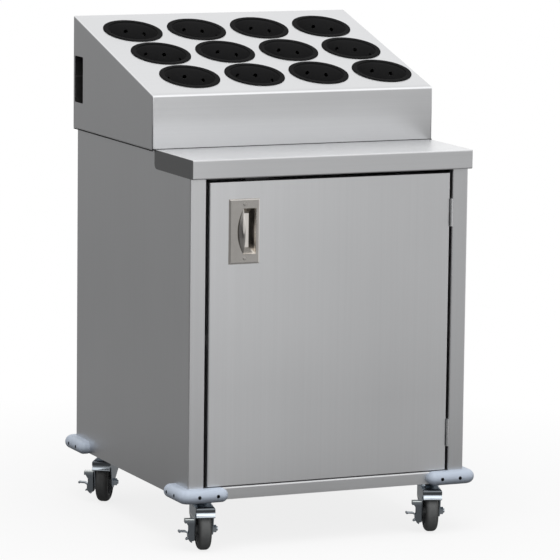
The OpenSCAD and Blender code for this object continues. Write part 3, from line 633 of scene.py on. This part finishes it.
def seal_and_shadow_mesh():
    """The sealed joint along the foot of the hood, a dark bead that also stands as a painted shadow line: on the
    counter in front, under its edge at the sides.
    """
    half, front, rear, base, _, _ = hood_sizes()
    bm = bmesh.new()
    bead(bm, (-half, front, base), (half, front, base), (0, -SEAL_SHADOW_OUT, 0), (0, 0, SEAL_SHADOW_TALL))
    for sign in (-1, 1):
        inner = sign * (half - 2 * SEAL_SHADOW_OUT)
        bead(bm, (inner, front, base), (inner, rear, base), (sign * SEAL_SHADOW_OUT, 0, 0), (0, 0, -SEAL_SHADOW_TALL))
    bmesh.ops.recalc_face_normals(bm, faces=bm.faces)
    return piece("hood_seal", bm)


def hood_punch():
    """What the hood's seat holes and hand slots are cut with."""
    half, _, rear, base, _, _ = hood_sizes()
    bm = bmesh.new()
    for row in ROWS:
        for column in COLUMNS:
            bmesh.ops.create_cone(
                bm, cap_ends=True, segments=SEAT_SIDES, radius1=SEAT_HOLE / 2, radius2=SEAT_HOLE / 2,
                depth=SEAT_CUT, matrix=slope_place(row, column))
    slot_y, slot_z = rear - SLOT_FROM_REAR - SLOT_WIDE / 2, base + SLOT_FROM_BASE + SLOT_TALL / 2
    slot_prism(bm, slot_y, slot_z, half * 1.5)
    return piece("hood_punch", bm)


def hood_mesh(edge):
    """The hood as one welded and ground shell, open below, with its seat holes and hand slots."""
    half, front, rear, base, crease, top = hood_sizes()
    bm = bmesh.new()
    weights = bm.edges.layers.float.new("bevel_weight_edge")
    outline = [(front, base), (front, crease), (rear, top), (rear, base)]
    left = [bm.verts.new((-half, y, z)) for y, z in outline]
    right = [bm.verts.new((half, y, z)) for y, z in outline]
    for a, b in ((0, 1), (1, 2), (2, 3)):
        bm.faces.new((left[a], left[b], right[b], right[a]))
    bm.faces.new(left[::-1])
    bm.faces.new(right)
    rolls = []
    for side, sign in ((left, 1), (right, -1)):
        inner = [bm.verts.new((v.co.x + sign * HOOD_FLANGE, v.co.y, base)) for v in (side[0], side[3])]
        quad = (side[0], side[3], inner[1], inner[0])
        bm.faces.new(quad if sign > 0 else quad[::-1])
        rolls.append(bm.edges.get((side[0], side[3])))
    bmesh.ops.recalc_face_normals(bm, faces=bm.faces)
    turn = math.pi / 2 - HOOD_SLOPE
    radii = {bm.edges.get((left[1], right[1])): HOOD_CREASE * math.tan(turn / 2)}
    seams = [bm.edges.get(pair) for pair in (
        (left[0], left[1]), (left[1], left[2]), (right[0], right[1]), (right[1], right[2]),
        (left[2], left[3]), (right[2], right[3]), (left[2], right[2]))]
    radii.update({seam: edge for seam in seams})
    radii.update({roll: HOOD_ROLL for roll in rolls})
    for bend, radius in radii.items():
        bend[weights] = radius / HOOD_CREASE
    shell = piece("hood_shell", bm)
    rounded = shell.modifiers.new("bends", "BEVEL")
    rounded.limit_method, rounded.width, rounded.segments = "WEIGHT", HOOD_CREASE, 4
    rounded.offset_type = "OFFSET"
    gauge = shell.modifiers.new("gauge", "SOLIDIFY")
    gauge.thickness, gauge.offset = HOOD_SHEET, -1
    punch = hood_punch()
    holes = shell.modifiers.new("holes", "BOOLEAN")
    holes.operation, holes.solver, holes.object = "DIFFERENCE", "EXACT", punch
    even = shell.modifiers.new("even", "WEIGHTED_NORMAL")
    even.keep_sharp = True
    finished(shell)
    bpy.data.objects.remove(punch)
    return shell


class CART_OT_cabinet(Operator):
    """Brushed finish on the cabinet's sheets, counter, shelf and catch"""

    bl_idname = "cart.cabinet"
    bl_label = "Cabinet"

    def execute(self, context):
        cart = context.scene.cart
        # The right post is painted darker: painted shade
        right_post = (0.87, ("X", 0.2, 0.25))
        upright = brushed_steel("stainless_upright", cart.steel, "z", 1.04, patches=(right_post,))
        level = brushed_steel("stainless_level", cart.steel, "x")
        low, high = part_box("counter_top")
        # The counter's top face is painted lighter (painted reflection) and its side flanges darker (painted
        # shade)
        top = (1.53, ("Z", high.z - 0.001, high.z - 0.0001))
        ends = (0.34, ("X", low.x + 0.0009, low.x + 0.0003)), (0.34, ("X", high.x - 0.0009, high.x - 0.0003))
        counter = brushed_steel("stainless_counter", cart.steel, "x", 0.95, patches=(top, *ends))
        dress_nodes(upright, "side_panel_left", "side_panel_right", "back_panel")
        dress_nodes(level, "caster_channels", "interior_shelf")
        # The base pan is a lighter copy of the sheet (painted light) and the header rail a much darker one
        # (painted shade)
        dress_nodes(brushed_steel("stainless_pan", cart.steel, "x", 1.12), "base_pan")
        dress_nodes(brushed_steel("stainless_header", cart.steel, "x", 0.22, 0.55), "header_rail")
        dress_nodes(counter, "counter_top")
        dress_nodes(plated_steel("hinge_steel", cart.steel.sheet, 0.26), "hinge_frame_leaves")
        dress_nodes(plated_steel("zinc_fixings", cart.steel.zinc, 0.3),
                    "shelf_clips", "caster_plates", "caster_bolts")
        dress_nodes(moulded("catch_plastic", cart.plastic.catch, 0.4, 0.1, 900), "magnet_catch")
        return {"FINISHED"}


class CART_OT_hood(Operator):
    """One welded and ground hood in place of its four sheets, and the dark sealant bead at its foot, which also
    stands as a painted shadow line
    """

    bl_idname = "cart.hood"
    bl_label = "Hood"

    def execute(self, context):
        cart = context.scene.cart
        half, _, rear, base, crease, _ = hood_sizes()
        inside = rear - HOOD_SHEET
        # Painted light on the hood: darker towards its foot (painted shade), a lighter slope, painted highlights
        # along the crease and the slope's left edge, and painted shade on the inner face of the back; the outer
        # back and the sides are set back to their plain level
        foot = (0.86, ("Z", base + 0.04, base))
        slope = (1.09, ("Z", crease + 0.001, crease + 0.004))
        bend = (1.45, ("Z", crease - 0.004, crease - 0.0025), ("Z", crease + 0.001, crease))
        left_edge = (1.35, ("X", 0.0024 - half, 0.0016 - half))
        back = (1.0, ("Y", rear - 0.001, rear - 0.0002))
        back_inside = (0.2, ("Y", inside - 0.0002, inside - 0.0001), ("Y", inside + 0.0003, inside + 0.0001))
        sides = (1.0, ("X", 0.001 - half, 0.0002 - half)), (1.0, ("X", half - 0.001, half - 0.0002))
        shell = dress(hood_mesh(cart.steel.edge), brushed_steel("stainless_hood", cart.steel, "x", patches=(
            foot, slope, bend, left_edge, back, back_inside, *sides)))
        seal_and_shadow = dress(seal_and_shadow_mesh(), moulded("hood_sealant", cart.plastic.seal_and_shadow, 0.6, 0.1, 500, gloss=0.2))
        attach(shell, "cabinet")
        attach(seal_and_shadow, "cabinet")
        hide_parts("hood_top", "hood_side_left", "hood_side_right", "hood_back")
        return {"FINISHED"}


class CART_OT_cylinders(Operator):
    """Twelve perforated cutlery cylinders"""

    bl_idname = "cart.cylinders"
    bl_label = "Cutlery Cylinders"

    def execute(self, context):
        cart = context.scene.cart
        rim = (0.3, ("Z", -0.001, 0))
        black = moulded("cylinder_plastic", cart.plastic.cylinder, 0.65, 0.12, 1400, gloss=0.02, patches=(rim,))
        for row in ROWS:
            for column in COLUMNS:
                turn = math.radians(HOLES_FROM - TURNS[row][column - 1])
                cup = dress(cylinder_mesh(f"cutlery_cup_{row}_{column}", cart.cylinder, turn), black)
                cup.matrix_world = slope_place(row, column)
                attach(cup, f"cup_{row}_{column}")
                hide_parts(f"cylinder_{row}_{column}")
        return {"FINISHED"}


class CART_OT_door(Operator):
    """Brushed door with its polished pull"""

    bl_idname = "cart.door"
    bl_label = "Door"

    def execute(self, context):
        cart = context.scene.cart
        # The door is painted lighter towards its left and its foot: painted light
        left, foot = (1.12, ("X", 0.1, -0.2)), (1.12, ("Z", 0.26, 0.13))
        left_foot = (1.25, ("Z", 0.3, 0.13), ("X", 0.1, -0.2))
        door = brushed_steel("stainless_door", cart.steel, "z", 1.03, patches=(left, foot, left_foot))
        dress_nodes(door, "door_skin", "door_liner")
        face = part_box("door_skin")[0].y - PULL_OUT
        low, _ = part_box("recessed_pull")
        wall, floor = low.x + POCKET_WALL, low.z + POCKET_FOOT
        # The pull's pocket is painted lighter (painted highlight) and its sloped right wall darker towards the
        # floor (painted shade)
        pocket = (1.9, ("Y", face + 0.0002, face + 0.0006))
        right_wall = (0.4, ("X", wall - 0.0005, wall + 0.0005), ("Y", face + 0.0045, face + 0.006),
                      ("Z", floor - 0.005, floor))
        polish = plated_steel("pull_steel", cart.steel.pull, 0.16, (pocket, right_wall))
        dress_nodes(polish, "recessed_pull")
        dress_nodes(plated_steel("hinge_door_steel", cart.steel.sheet, 0.26), "hinge_door_leaves")
        dress_nodes(plated_steel("pull_screw_steel", cart.steel.pull, 0.34), "pull_screws")
        dress_nodes(plated_steel("zinc_door", cart.steel.zinc, 0.26), "catch_strike")
        return {"FINISHED"}


class CART_OT_bumpers(Operator):
    """Vinyl corner bumpers and their screws"""

    bl_idname = "cart.bumpers"
    bl_label = "Bumpers"

    def execute(self, context):
        cart = context.scene.cart
        low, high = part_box("bumper_front_left")
        # The bumpers are painted darker towards their foot: painted shade
        foot = (0.45, ("Z", low.z * 0.45 + high.z * 0.55, low.z))
        vinyl = moulded("bumper_vinyl", cart.plastic.bumper, 0.45, 0.08, 700, 0.05, patches=(foot,),
                        marks=screw_recess_shade)
        dress_nodes(vinyl, *each_corner("bumper"))
        # The screws are painted nearly black to stand as the shade in their recesses: painted shade
        dress_nodes(plated_steel("screw_steel", shade(cart.steel.zinc, 0.12)[:3], 0.4), "bumper_screws")
        return {"FINISHED"}


class CART_OT_casters(Operator):
    """Plated forks, axles and brakes, grey hubs and dark tyres"""

    bl_idname = "cart.casters"
    bl_label = "Casters"

    def execute(self, context):
        cart = context.scene.cart
        dress_nodes(plated_steel("zinc_axles", cart.steel.zinc, 0.17), *each_corner("axle"))
        # The brake levers are a darker copy of the zinc: painted shade
        brakes = plated_steel("zinc_brakes", shade(cart.steel.zinc, 0.8)[:3], 0.2, corner=0.0014)
        dress_nodes(brakes, *each_corner("brake_lever"))
        dress_nodes(moulded("hub_plastic", cart.plastic.hub, 0.5, 0.1, 900), *each_corner("wheel_hub"))
        for corner in CORNERS:
            # Rear tyres are painted darker as the cart's shadow over them: painted shade
            painted_shade_level = 1.0 if corner.startswith("front") else 0.5
            dress_nodes(tyre_rubber(corner, shade(cart.plastic.tyre, painted_shade_level)[:3]), f"tyre_{corner}")
            dress_nodes(fork_zinc(corner, cart.steel.zinc), f"fork_{corner}")
        return {"FINISHED"}


def studio_world(look):
    """White to the camera, a graded studio in reflections, dim overhead and in one corner, else an even light."""
    world = bpy.data.worlds.new("studio")
    bpy.context.scene.world = world
    finish = Finish(world, "ShaderNodeOutputWorld")
    way = finish.node("ShaderNodeTexCoord", out="Generated")
    right = finish.part(way, "X")
    ahead, up = right.other("Y"), right.other("Z")
    seen = finish.node("ShaderNodeLightPath", out="Is Camera Ray")
    through, mirrored = seen.other("Is Transmission Ray"), seen.other("Is Glossy Ray")
    studio = finish.clamp(STUDIO_LEVEL + right * STUDIO_RIGHT + up * STUDIO_UP, *STUDIO_LIMITS)
    zenith = 1 - finish.between(up, 0.75, 0.95) * 0.25
    corner = 1 - finish.between(up * 0.15 - right * 0.4 - ahead * 0.9, 0.78, 0.96) * 0.75
    plain = finish.clamp(seen + through)
    level = plain + (1 - plain) * (mirrored * studio * zenith * corner + (1 - mirrored) * look.ambient)
    finish.close(finish.node("ShaderNodeBackground", None, {"Color": (1, 1, 1, 1), "Strength": level}))


def stage_floor(look):
    """A pale floor that fades to white and keeps the cart's shadow."""
    bm = bmesh.new()
    bmesh.ops.create_circle(bm, cap_ends=True, segments=96, radius=FLOOR_R)
    floor = piece("floor", bm)
    finish = material("floor_pale")
    here = finish.here()
    reach = finish.vector("LENGTH", here, out="Value")
    seen = finish.node("ShaderNodeLightPath", out="Is Camera Ray")
    white = finish.clamp(seen + seen.other("Is Transmission Ray"))
    fade = finish.between(reach, 0.5, 1.3)
    pale = finish.node("ShaderNodeBsdfDiffuse", None, {"Color": (*look.floor, 1)})
    stray = finish.node("ShaderNodeBsdfDiffuse", None, {"Color": (FLOOR_STRAY, FLOOR_STRAY, FLOOR_STRAY, 1)})
    ground = finish.blend(seen.other("Is Diffuse Ray"), pale, stray)
    lit = finish.blend(white * (0.82 + fade * 0.18), ground, finish.glow(1.0))
    leftward = finish.between(finish.part(here, "X"), -0.2, -0.5)
    image = finish.blend(leftward, finish.glow(FLOOR_FAR), finish.glow(FLOOR_LEFT))
    # Darker glow near the cart, seen only in reflections: painted shadow
    image = finish.blend(finish.between(reach, 0.95, 0.65), image, finish.glow(FLOOR_NEAR))
    dress(floor, finish.close(finish.blend(seen.other("Is Glossy Ray"), lit, image)))


def lamp(name, place, aim, size, power, mirrored=True):
    """A large soft lamp that looks at a point, and shows in glossy surfaces only if mirrored."""
    data = bpy.data.lights.new(name, "AREA")
    data.energy, data.shape, data.size = power, "DISK", size
    obj = bpy.data.objects.new(name, data)
    obj.location = place
    obj.visible_glossy = mirrored
    obj.rotation_euler = (Vector(aim) - Vector(place)).to_track_quat("-Z", "Y").to_euler()
    bpy.context.scene.collection.objects.link(obj)


class CART_OT_stage(Operator):
    """Camera, pale floor and soft studio light"""

    bl_idname = "cart.stage"
    bl_label = "Stage"

    def execute(self, context):
        look = context.scene.cart.stage
        context.scene.view_settings.view_transform = "Standard"
        data = bpy.data.cameras.new("camera")
        data.lens, data.sensor_width = look.lens, 36
        data.clip_start, data.clip_end = 0.1, 60
        camera = bpy.data.objects.new("camera", data)
        context.scene.collection.objects.link(camera)
        context.scene.camera = camera
        aim = Vector((math.sin(look.azimuth) * math.cos(look.elevation),
                      math.cos(look.azimuth) * math.cos(look.elevation), -math.sin(look.elevation)))
        level = Vector((math.cos(look.azimuth), -math.sin(look.azimuth), 0))
        upright = level.cross(aim)
        right = math.cos(look.roll) * level + math.sin(look.roll) * upright
        up = math.cos(look.roll) * upright - math.sin(look.roll) * level
        turn = Matrix((right, up, -aim)).transposed()
        camera.matrix_world = Matrix.Translation(look.place) @ turn.to_4x4()
        studio_world(look)
        stage_floor(look)
        lamp("key_lamp", *KEY_LAMP, look.key, mirrored=False)
        lamp("front_lamp", *FRONT_LAMP, look.fill)
        return {"FINISHED"}


class CART_PT_sidebar(Panel):
    """The cart's steps, in order"""

    bl_idname = "CART_PT_sidebar"
    bl_label = "Silverware Cart"
    bl_space_type = "VIEW_3D"
    bl_region_type = "UI"
    bl_category = "Cart"

    def draw(self, context):
        for step in STEPS:
            self.layout.operator(step.bl_idname)


STEPS = (CART_OT_cabinet, CART_OT_hood, CART_OT_cylinders, CART_OT_door, CART_OT_bumpers, CART_OT_casters,
         CART_OT_stage)
CLASSES = (CartSteel, CartPlastic, CartCylinder, CartStage, CartSettings, *STEPS, CART_PT_sidebar)


def register():
    for cls in CLASSES:
        bpy.utils.register_class(cls)
    bpy.types.Scene.cart = PointerProperty(type=CartSettings)


def unregister():
    del bpy.types.Scene.cart
    for cls in reversed(CLASSES):
        bpy.utils.unregister_class(cls)


def main():
    """Registers the steps and runs them in order."""
    register()
    bpy.ops.cart.cabinet()
    bpy.ops.cart.hood()
    bpy.ops.cart.cylinders()
    bpy.ops.cart.door()
    bpy.ops.cart.bumpers()
    bpy.ops.cart.casters()
    bpy.ops.cart.stage()


if __name__ == "__main__":
    main()
